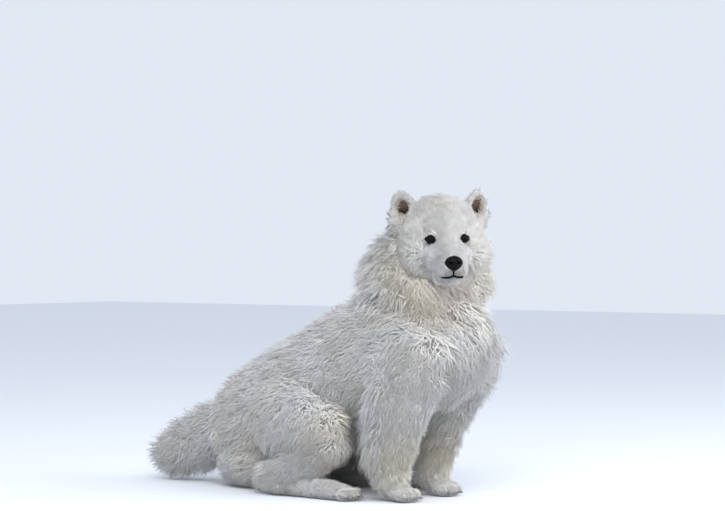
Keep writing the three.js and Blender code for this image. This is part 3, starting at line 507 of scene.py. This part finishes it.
for vert in form.verts:
    x, y, z = vert.co
    narrow = 1 - 0.34 * max(0, -z) ** 1.4 - 0.1 * max(0, z) ** 2
    x, y, z = PAD_DEPTH * x, PAD_HALF_WIDTH * y * narrow, (PAD_ABOVE if z > 0 else PAD_BELOW) * z
    for side in (1, -1):
        # the nostril's hole, and the slit that curls out and back from it
        hole = math.exp(-(((y - 8 * side) / 3.9) ** 2 + ((z - 0.2) / 3.4) ** 2) * 1.1)
        drop = z + 3.4 - 0.25 * (abs(y) - 13)
        slit = math.exp(-(((abs(y) - 13.4) / 4.2) ** 2 + (drop / 1.5) ** 2)) * (y * side > 0)
        if x > 0:
            x -= 7.5 * hole + 2.6 * slit
    if x > 0 and z < 3:
        x -= 1.5 * math.exp(-((y / 1.1) ** 2)) * min(1, (3 - z) / 5)
    vert.co = (x, y, z)
bmesh.ops.transform(form, matrix=head_place @ Matrix.Translation((130, 0, -37)), verts=form.verts)
add_piece("nose_pad", form, nose_leather, "nose")

# The lips: the black edge of the skin along the mouth, closed, with the cleft above it.
# The line dips under the nose and rises to its corners, where it runs under the cheeks' fur.
half_mouth = [
    (125, 9, -69, 2.6),
    (118.5, 18.5, -70.5, 2.2),
    (107, 26.5, -70, 1.6),
    (90, 33, -66, 1.4),
    (72, 35.5, -60, 1.2),
    (57, 36, -52, 1),
]
other_half = [(x, -y, z, size) for x, y, z, size in reversed(half_mouth)]
mouth_line = other_half + [(126.5, 0, -66, 2.8)] + half_mouth
cleft = [(131, 0, -50, 2.8), (129, 0, -57, 2.2), (126, 0, -66, 2.1)]
form = bmesh.new()
for line in (mouth_line, cleft):
    rings_of_edges = []
    for i, (x, y, z, size) in enumerate(line):
        before, after = Vector(line[max(i - 1, 0)][:3]), Vector(line[min(i + 1, len(line) - 1)][:3])
        turn = (after - before).to_track_quat("Z", "X").to_matrix().to_4x4()
        place = Matrix.Translation((x, y, z)) @ turn
        ring = bmesh.ops.create_circle(form, cap_ends=False, segments=10, radius=size, matrix=place)
        rings_of_edges.append(list(dict.fromkeys(e for v in ring["verts"] for e in v.link_edges)))
    for one, two in zip(rings_of_edges, rings_of_edges[1:]):
        bmesh.ops.bridge_loops(form, edges=one + two)
    for end in (rings_of_edges[0], rings_of_edges[-1]):
        bmesh.ops.edgeloop_fill(form, edges=end)
bmesh.ops.recalc_face_normals(form, faces=form.faces)
bmesh.ops.transform(form, matrix=head_place, verts=form.verts)
add_piece("lips", form, black_skin, None)

# The claws: short curved horn, one to a toe, set in the skin above its pad.
# Each is a cone that leans down and forwards, and its tip nearly meets the floor.
horn = bpy.data.materials.new("horn")
horn.use_nodes = True
shader = horn.node_tree.nodes["Principled BSDF"]
shader.inputs["Base Color"].default_value = (0.16, 0.13, 0.11, 1)
shader.inputs["Roughness"].default_value = 0.35
CLAW_LENGTH = 15
claw_toes = [(141, 54), (149, 70), (148, 87), (140, 103), (20, 112), (29, 126), (28, 142), (19, 156)]
bent = Matrix.Rotation(math.radians(112), 4, "Y")
form = bmesh.new()
for x, y in claw_toes:
    for side in (1, -1):
        claw = bmesh.ops.create_cone(
            form, cap_ends=True, segments=10, radius1=3.0, radius2=0.7, depth=CLAW_LENGTH
        )
        bmesh.ops.transform(form, matrix=bent, verts=claw["verts"])
        place = Matrix.Translation((x + 17, y * side, 10.5))
        bmesh.ops.transform(form, matrix=place, verts=claw["verts"])
add_piece("claws", form, horn, None)

# The coat: tapered hairs in small tufts, rooted in the skin and lying back along the body.
# Each grows out of the skin, then bends over the way that the coat lies there, towards its tuft's tip.
# They are long in the mane and the tail, and short on the face and the feet.
skin_mesh.calc_loop_triangles()
skin_normals = normals_of(skin_mesh)
triangles = np.empty(len(skin_mesh.loop_triangles) * 3, np.int32)
skin_mesh.loop_triangles.foreach_get("vertices", triangles)
triangles = triangles.reshape(-1, 3)
triangle_loops = np.empty(len(skin_mesh.loop_triangles) * 3, np.int32)
skin_mesh.loop_triangles.foreach_get("loops", triangle_loops)
triangle_loops = triangle_loops.reshape(-1, 3)
unwrap = np.empty(len(skin_mesh.loops) * 2, np.float32)
skin_mesh.uv_layers["OFBake"].data.foreach_get("uv", unwrap)
unwrap = unwrap.reshape(-1, 2)

guide_middle = np.array([g[0] for g in guides], np.float32)
guide_along = np.array([g[1] for g in guides], np.float32)
guide_flow = np.array([g[8] for g in guides], np.float32)
guide_radius = np.array([g[2] for g in guides], np.float32)
guide_facts = np.array([g[3:7] for g in guides], np.float32)
guide_head = np.array([g[7] == "head" for g in guides])
NEARNESS = 6
FOLD_ABOVE_ROOTS = 26
regions = ["body", "mane", "tail", "legs", "thighs", "paws", "head"]
guide_region = np.array([regions.index(g[7]) for g in guides])


def unit(rows):
    """Each row made one long."""
    return rows / np.maximum(np.linalg.norm(rows, axis=1, keepdims=True), 1e-9)


def crease_at(places):
    """How near places are to the fold where the ruff ends over the right shoulder and the chest."""
    along = places[:, 0] * 0.819 + places[:, 1] * 0.574
    fold = np.interp(along, [24, 74, 130, 185, 230], [437, 407, 394, 378, 384])
    return np.exp(-(((places[:, 2] - fold) / 12) ** 2)) * ramp(along, 0, 30) * ramp(-along, -240, -200)


def coat_at(places, normals):
    """How the coat lies at places on the skin, in mm.

    Gives its way, its depth, how far it lies over, the hair's width, and the part of the coat.
    """
    away = np.linalg.norm(places[:, None] - guide_middle[None], axis=2)
    pull = (guide_radius[None] / np.maximum(away, 1)) ** NEARNESS
    pull /= pull.sum(axis=1, keepdims=True)
    region = guide_region[pull.argmax(axis=1)]
    facts = pull @ guide_facts
    on_head = pull[:, guide_head].sum(axis=1)
    way = pull @ guide_flow
    local = seen_from(head_place, places)
    x, y, z = local.T
    # on the head it runs back from the nose, and down over the cheeks
    back = unit(local - np.array([128, 0, -30], np.float32)) + np.array([-0.35, 0, 0], np.float32)
    back[:, 2] -= ramp(-z, -10, 40) * 0.5 * ramp(-x, -80, 0)
    behind = ramp(-x, -20, 30) * ramp(-z, -30, 10)
    back += np.stack([behind * 0.5, np.sign(y) * behind * 0.3, -behind * 0.6], axis=1)
    back_way = back @ np.array(head_place, np.float32)[:3, :3].T
    way = way * (1 - on_head[:, None]) + back_way * on_head[:, None]
    # it is shorter high on the neck, at the tail's end and round the eyes
    high = ramp(places[:, 2], 540, 640) * (1 - on_head)
    tail_end = ramp(-places[:, 0], 540, 612)
    depth = facts[:, 0] * (1 - 0.76 * high) * (1 - 0.3 * tail_end)
    lie = facts[:, 1] * (1 - 0.5 * high)
    width = facts[:, 3]
    gravity = facts[:, 2]
    for eye_place in eye_places:
        bare = ramp(np.linalg.norm(places - eye_place, axis=1), 13, 36)
        depth = depth * (0.35 + 0.65 * bare)
        lie = lie * (0.5 + 0.5 * bare)
    # behind each foreleg hangs a fringe
    fringe = ramp(-normals[:, 0], 0.1, 0.8)
    fringe = fringe * ramp(places[:, 2], 60, 130)
    fringe = fringe * ramp(-places[:, 2], -330, -230)
    fringe *= ramp(places[:, 0], 40, 90) * (1 - on_head)
    depth = depth + 26 * fringe
    lie = lie + 34 * fringe
    # down the front of the chest it falls, and it is shorter in the fold
    front = ramp(normals[:, 0], 0.05, 0.6) * (1 - on_head) * ramp(places[:, 2], 200, 300)
    way = unit(way) * (1 - front[:, None]) + np.array([0.1, 0, -1], np.float32) * front[:, None]
    depth = depth * (1 - 0.24 * front)
    lie = lie * (1 + 0.8 * front)
    depth = depth * (1 - 0.45 * crease_at(places - np.array([0, 0, FOLD_ABOVE_ROOTS])))
    # on each ear it is short and runs up to the tip, and it is shorter in front of the ear
    for place in ears.values():
        spot = seen_from(place, places)
        before = ramp(spot[:, 1], -6, 6) * ramp(-spot[:, 1], -50, -34)
        before = before * ramp(-np.abs(spot[:, 0]), -44, -30)
        before *= ramp(spot[:, 2], -40, -15)
        depth = depth * (1 - 0.6 * before)
        lie = lie * (1 - 0.35 * before)
        on_ear = ramp(spot[:, 2], 2, 20) * (np.abs(spot[:, 0]) < 46) * (np.abs(spot[:, 1]) < 30)
        up_ear = np.array(place, np.float32)[:3, 2]
        way = way * (1 - on_ear[:, None]) + up_ear * on_ear[:, None]
        depth = depth * (1 - on_ear) + 4.5 * on_ear
        lie = lie * (1 - on_ear) + 13 * on_ear
        width = width * (1 - on_ear) + 1.3 * on_ear
        gravity = gravity * (1 - on_ear)
        region = np.where(on_ear > 0.5, regions.index("head"), region)
    way = unit(way)
    way[:, 2] -= gravity
    way -= normals * (way * normals).sum(axis=1, keepdims=True)
    return unit(way), depth, lie, width, region


def out_at(places, first):
    """Straight out of the coat at places, in mm, which its hairs take their shading from."""
    apart = places[:, None] - guide_middle[None]
    away = np.maximum(np.linalg.norm(apart, axis=2), 1)
    # the brows are small forms, which hardly turn the coat's surface
    brow = guide_head & (guide_radius < 17)
    pull = (guide_radius[None] / away) ** NEARNESS * np.where(brow, 0.1, 1)[None]
    apart -= guide_along[None] * (apart * guide_along[None]).sum(axis=2, keepdims=True)
    out = unit((apart / away[:, :, None] * pull[:, :, None]).sum(axis=1))
    return unit(out + first * 0.35)


# hair grows thickest where it is thin and where the coat stands far out from a narrow form
HAIRS = 145000
HAIRS_IN_TUFT = 24
draw = np.random.default_rng(11)
corners = skin_places[triangles]
sides = np.cross(corners[:, 1] - corners[:, 0], corners[:, 2] - corners[:, 0])
area = np.linalg.norm(sides, axis=1) / 2
centres = corners.mean(axis=1)
_, depth, _, width, _ = coat_at(centres, unit(skin_normals[triangles].mean(axis=1)))
away = np.linalg.norm(centres[:, None] - guide_middle[None], axis=2)
near = (guide_radius[None] / np.maximum(away, 1)).argmax(axis=1)
wanted = area / width**2 * ((guide_radius[near] + depth) / guide_radius[near]) ** 1.3
# none grows deep in the ears, on the lids, under the nose pad, on the lips or against the floor
wanted *= ear_depth[triangles].mean(axis=1) < 0.72
for place in eye_frames.values():
    spot = seen_from(place, centres)
    wanted *= ((spot[:, 0] / 17) ** 2 + (spot[:, 1] / 8.2) ** 2 > 1) | (spot[:, 2] < -8)
head_local = seen_from(head_place, centres)
nose_away = (head_local - np.array([131, 0, -38])) / np.array([15, 20, 18])
wanted *= np.linalg.norm(nose_away, axis=1) > 1
for one, two in zip(mouth_line, mouth_line[1:]):
    a, b = np.array(one[:3]), np.array(two[:3])
    along = np.clip((head_local - a) @ (b - a) / ((b - a) @ (b - a)), 0, 1)[:, None]
    off_line = np.linalg.norm(head_local - a - along * (b - a), axis=1)
    wanted *= (off_line > 3.2) | (a[0] < 117) | (b[0] < 117)
wanted *= centres[:, 2] > 2.5
wanted *= HAIRS / wanted.sum()
count = np.floor(wanted + draw.random(len(wanted))).astype(int)
chosen = np.repeat(np.arange(len(count)), count)
u, v = draw.random((2, len(chosen)))
flip = u + v > 1
u[flip], v[flip] = 1 - u[flip], 1 - v[flip]
shares = np.stack([1 - u - v, u, v], axis=1)[:, :, None]
roots = (corners[chosen] * shares).sum(axis=1)
outward = unit((skin_normals[triangles[chosen]] * shares).sum(axis=1))
root_unwrap = (unwrap[triangle_loops[chosen]] * shares).sum(axis=1)
way, depth, lie, width, region = coat_at(roots, outward)
in_ear = ramp((ear_depth[triangles[chosen]] * shares[:, :, 0]).sum(axis=1), 0.03, 0.3)
depth, lie = depth * (1 - 0.4 * in_ear), lie * (1 - 0.2 * in_ear)

# neighbouring hairs share a tuft, whose tip draws theirs together
tufts = draw.choice(len(roots), len(roots) // HAIRS_IN_TUFT, replace=False)
tree = KDTree(len(tufts))
for i, tuft in enumerate(tufts):
    tree.insert(roots[tuft], i)
tree.balance()
tuft_of = tufts[np.array([tree.find(root)[1] for root in roots])]
tuft_turn = draw.normal(0, 0.42, len(roots))
tuft_height = draw.uniform(0.86, 1.02, len(roots))
aside = np.cross(outward, way)


def tip_of(rows, turn, height, length):
    """Where hairs end, which stand up by their height and lie over by their length."""
    swing = way[rows] * np.cos(turn)[:, None] + aside[rows] * np.sin(turn)[:, None]
    rise = outward[rows] * (depth[rows] * height)[:, None]
    return roots[rows] + rise + swing * (lie[rows] * length)[:, None]


every = np.arange(len(roots))
own_turn = tuft_turn[tuft_of] + draw.normal(0, 0.45, len(roots))
# two hairs in five are undercoat, shorter and more upright
under = draw.random(len(roots)) < 0.4
own_height = np.where(under, draw.uniform(0.5, 0.86, len(roots)), draw.uniform(0.78, 1.04, len(roots)))
own_height *= tuft_height[tuft_of]
tip = tip_of(every, own_turn, own_height, draw.uniform(0.8, 1.15, len(roots)))
tuft_tip = tip_of(tuft_of, tuft_turn[tuft_of], tuft_height[tuft_of], np.ones(len(roots)))
drawn = np.where(under, 0.1, draw.uniform(0.1, 0.42, len(roots)))[:, None]
tip = tip + (tuft_tip - tip) * drawn
swing = way * np.cos(own_turn)[:, None] + aside * np.sin(own_turn)[:, None]
bend = roots + outward * (depth * own_height * 0.7)[:, None] + swing * (lie * 0.26)[:, None]
bend += aside * (draw.normal(0, 0.14, len(roots)) * lie)[:, None]
bend += (tuft_tip - tip) * 0.12

# a hair is three-sided, with a ring at its root, a ring at its bend and a point at its tip
POINTS_IN_HAIR = 7
ROOT_UNDER_SKIN = 1.2
FLOOR_GAP = 1
run = unit(tip - roots)
across = unit(np.cross(run, outward) + 1e-4)
ridge = unit(np.cross(across, run))
half = (width * np.where(under, 1.0, 0.72) * draw.uniform(0.8, 1.2, len(roots)))[:, None] / 2
rings = np.empty((len(roots), POINTS_IN_HAIR, 3), np.float32)
for at, middle, size in ((0, roots - outward * ROOT_UNDER_SKIN, 0.75), (3, bend, 1.0)):
    rings[:, at] = middle - across * half * size
    rings[:, at + 1] = middle + across * half * size
    rings[:, at + 2] = middle + ridge * half * size * 0.8
rings[:, 6] = tip
rings[:, :, 2] = np.maximum(rings[:, :, 2], FLOOR_GAP)

# its shading follows the coat's own surface, and on the ears the skin
facing = np.empty((len(roots), 3, 3), np.float32)
facing[:, 0] = outward
on_ear = np.zeros(len(roots), bool)
for place in ears.values():
    spot = seen_from(place, roots)
    on_ear |= (spot[:, 2] > 0) & (np.abs(spot[:, 0]) < 46) & (np.abs(spot[:, 1]) < 30)
for part in np.array_split(np.arange(len(roots)), 12):
    facing[part, 1] = out_at(bend[part], outward[part])
    facing[part, 2] = out_at(tip[part], outward[part])
facing[on_ear] = outward[on_ear][:, None]
facing = facing[:, (0, 0, 0, 1, 1, 1, 2)]

# off-white all over and creamier in streaks
local = seen_from(head_place, roots)
streak = np.sin(roots[:, 0] / 31 + 1.3 * np.sin(roots[:, 2] / 43))
streak = streak * np.sin(roots[:, 1] / 27 + roots[:, 2] / 61)
cream = np.clip(0.32 + 0.3 * streak + draw.normal(0, 0.12, len(roots)), 0, 1)[:, None]
white_hair, cream_hair = np.array([0.98, 0.97, 0.95]), np.array([0.95, 0.89, 0.78])
tint = white_hair * (1 - cream) + cream_hair * cream


def near_spot(where, place, size):
    """How near places are to a spot, from 1 at its middle and fading over its size."""
    return np.exp(-(((where - np.array(place)) / np.array(size)) ** 2).sum(axis=1))[:, None]


def stained(tint, stain, tone):
    return tint * (1 - stain) + np.array(tone) * stain


# yellowish on the chest, shoulder, knee and lower legs, as the outer hair of this breed weathers
stain = np.zeros((len(roots), 1))
for place, size in (
    ((150, 0, 490), (120, 170, 90)),
    ((110, 0, 430), (60, 200, 60)),
    ((-40, 0, 130), (70, 220, 60)),
    ((130, 0, 110), (90, 160, 70)),
    ((-330, 0, 130), (110, 220, 60)),
):
    stain = np.maximum(stain, near_spot(roots, place, size))
stain *= 0.6 + 0.5 * streak[:, None]
stain = np.clip(stain, 0, 1) * 0.85
tint = stained(tint, stain, [0.90, 0.80, 0.56])
# creamy on the cheeks, pinkish under the chin, whitest on the muzzle, tan in the ears
both_cheeks = np.abs(local * (0, 1, 0)) + local * (1, 0, 1)
cheeks = near_spot(both_cheeks, (-22, 74, -58), (52, 46, 66)) * 0.55
tint = stained(tint, cheeks, [0.92, 0.83, 0.66])
blush = near_spot(local, (20, 0, -118), (75, 75, 42)) * 0.8
tint = stained(tint, blush, [0.84, 0.69, 0.60])
muzzle_white = near_spot(local, (95, 0, -40), (55, 45, 45)) * 0.8
tint = stained(tint, muzzle_white, [0.98, 0.975, 0.98])
tint = stained(tint, in_ear[:, None], [0.68, 0.58, 0.48])
# painted shade darkens the hairs in the fold under the ruff, and they are darker on the knees
fold = crease_at(tip)[:, None] * 0.8
tint = stained(tint, fold, [0.56, 0.49, 0.36])
knee = near_spot(roots, (-34, 0, 112), (62, 230, 52)) * 0.6
tint = stained(tint, knee, [0.66, 0.58, 0.46])
tuft_tone = draw.uniform(0.86, 1.02, len(roots))[tuft_of]
tint *= (tuft_tone * draw.uniform(0.93, 1.03, len(roots)))[:, None]
colour = np.ones((len(roots), POINTS_IN_HAIR, 4), np.float32)
# painted shade deep in the coat: each hair is darkest at its root, lighter at its bend and brightest at its
# tip
for at, shade in enumerate((0.74, 0.74, 0.74, 0.95, 0.95, 0.95, 1.05)):
    colour[:, at, :3] = np.clip(tint * shade, 0, 0.99)
coat_finish = tinted_finish("coat", 0.8, 0)
shader = coat_finish.node_tree.nodes["Principled BSDF"]
shader.inputs["Subsurface Weight"].default_value = 0.7
shader.inputs["Subsurface Radius"].default_value = (1, 1, 1)
shader.inputs["Subsurface Scale"].default_value = 0.006

# the faces of one hair, and its small patch on the skin's own unwrapping
face_of_hair = np.array(
    [(0, 1, 2)]
    + [(k, (k + 1) % 3 + 3, (k + 1) % 3) for k in range(3)]
    + [(k, k + 3, (k + 1) % 3 + 3) for k in range(3)]
    + [(k + 3, 6, (k + 1) % 3 + 3) for k in range(3)]
)
patch = np.array([(-1, -1), (1, -1), (0, -1), (-1, 0.2), (1, 0.2), (0, 0.2), (0, 1)], np.float32) * 0.0014


def coat_piece(name, rows):
    """Joins the hairs of one part of the coat in one mesh."""
    mesh = bpy.data.meshes.new(name)
    number = len(rows)
    mesh.vertices.add(number * POINTS_IN_HAIR)
    mesh.vertices.foreach_set("co", (rings[rows].reshape(-1, 3) * MM + zero).ravel())
    faces = (face_of_hair[None] + np.arange(number)[:, None, None] * POINTS_IN_HAIR).reshape(-1, 3)
    mesh.loops.add(faces.size)
    mesh.loops.foreach_set("vertex_index", faces.ravel().astype(np.int32))
    mesh.polygons.add(len(faces))
    mesh.polygons.foreach_set("loop_start", np.arange(0, faces.size, 3, dtype=np.int32))
    mesh.polygons.foreach_set("use_smooth", np.ones(len(faces), bool))
    mesh.update(calc_edges=True)
    places = (root_unwrap[rows][:, None] + patch[None]).reshape(-1, 2)
    places = places[faces.ravel()].astype(np.float32).ravel()
    mesh.uv_layers.new(name="OFBake").data.foreach_set("uv", places)
    tints = mesh.color_attributes.new("tint", "FLOAT_COLOR", "POINT")
    tints.data.foreach_set("color", colour[rows].ravel())
    own = normals_of(mesh).reshape(-1, POINTS_IN_HAIR, 3)
    soft = own * 0.42 + facing[rows] * 0.8
    mesh.normals_split_custom_set_from_vertices(unit(soft.reshape(-1, 3)).tolist())
    mesh.materials.append(coat_finish)
    piece = bpy.data.objects.new(name, mesh)
    bpy.context.scene.collection.objects.link(piece)
    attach(piece, "root")


# ten triangles to a hair keep each piece under 200,000
MOST_HAIRS = 19900
for name, slot in (
    ("head", "coat"),
    ("mane", "coat"),
    ("body", "coat"),
    ("thighs", "coat"),
    ("legs", "leg_coat"),
    ("paws", "leg_coat"),
    ("tail", "coat"),
):
    rows = np.nonzero(region == regions.index(name))[0]
    parts = math.ceil(len(rows) / MOST_HAIRS)
    rows = rows[np.argsort(roots[rows, 2], kind="stable")]
    for part, share in enumerate(np.array_split(rows, parts)):
        coat_piece(f"coat_of_{name}_{part + 1}", share)

# The studio: a plain pale floor that the dog sits on, lit softly from the front and its right.
# The sky light is pale and a little blue, and fills the shadows.
FLOOR_HALF_SIZE = 12
floor_mesh = bpy.data.meshes.new("floor")
floor_form = bmesh.new()
bmesh.ops.create_grid(floor_form, x_segments=1, y_segments=1, size=FLOOR_HALF_SIZE)
floor_form.to_mesh(floor_mesh)
floor_form.free()
studio_floor = bpy.data.objects.new("studio_floor", floor_mesh)
bpy.context.scene.collection.objects.link(studio_floor)
pale = bpy.data.materials.new("pale floor")
pale.use_nodes = True
shader = pale.node_tree.nodes["Principled BSDF"]
shader.inputs["Base Color"].default_value = (0.8, 0.82, 0.86, 1)
shader.inputs["Roughness"].default_value = 0.9
floor_mesh.materials.append(pale)
studio_floor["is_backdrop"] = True

bpy.context.scene.view_settings.view_transform = "Standard"
world = bpy.context.scene.world or bpy.data.worlds.new("studio")
bpy.context.scene.world = world
world.use_nodes = True
sky = world.node_tree.nodes["Background"]
sky.inputs["Color"].default_value = (0.84, 0.9, 1.0, 1)
sky.inputs["Strength"].default_value = 0.9
for name, spot, energy, size in (
    ("key light", (3.0, -3.8, 3.2), 250, 3.4),
    ("fill light", (4.2, 1.0, 2.0), 110, 3.0),
):
    lamp = bpy.data.lights.new(name, "AREA")
    lamp.energy = energy
    lamp.size = size
    holder = bpy.data.objects.new(name, lamp)
    holder.location = spot
    holder.rotation_mode = "QUATERNION"
    holder.rotation_quaternion = (Vector((0, 0, 0.35)) - Vector(spot)).to_track_quat("-Z", "Y")
    bpy.context.scene.collection.objects.link(holder)

# The camera stands level with the dog's eyes, 5 m away, ahead of the dog and on its right.
# It is turned aside and tipped down a little, to set the dog right of the middle as the photo does.
CAMERA_WAY = math.radians(55)
CAMERA_AWAY = 5.0
TURNED_ASIDE = math.atan(84.2 / 2300)
TIPPED_DOWN = math.radians(0.346)
back = Vector((math.cos(CAMERA_WAY), -math.sin(CAMERA_WAY), 0))
camera_data = bpy.data.cameras.new("camera")
camera_data.lens = 114.2
camera_data.sensor_width = 36
camera_data.clip_end = 100
camera = bpy.data.objects.new("camera", camera_data)
camera.location = dog_zero + Vector((0.250, -0.085, 0.575)) + back * CAMERA_AWAY
aim = Matrix.Rotation(TURNED_ASIDE, 3, "Z") @ -back
aim.z = -math.tan(TIPPED_DOWN)
camera.rotation_mode = "QUATERNION"
camera.rotation_quaternion = aim.to_track_quat("-Z", "Y")
bpy.context.scene.collection.objects.link(camera)
bpy.context.scene.camera = camera

low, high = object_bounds()
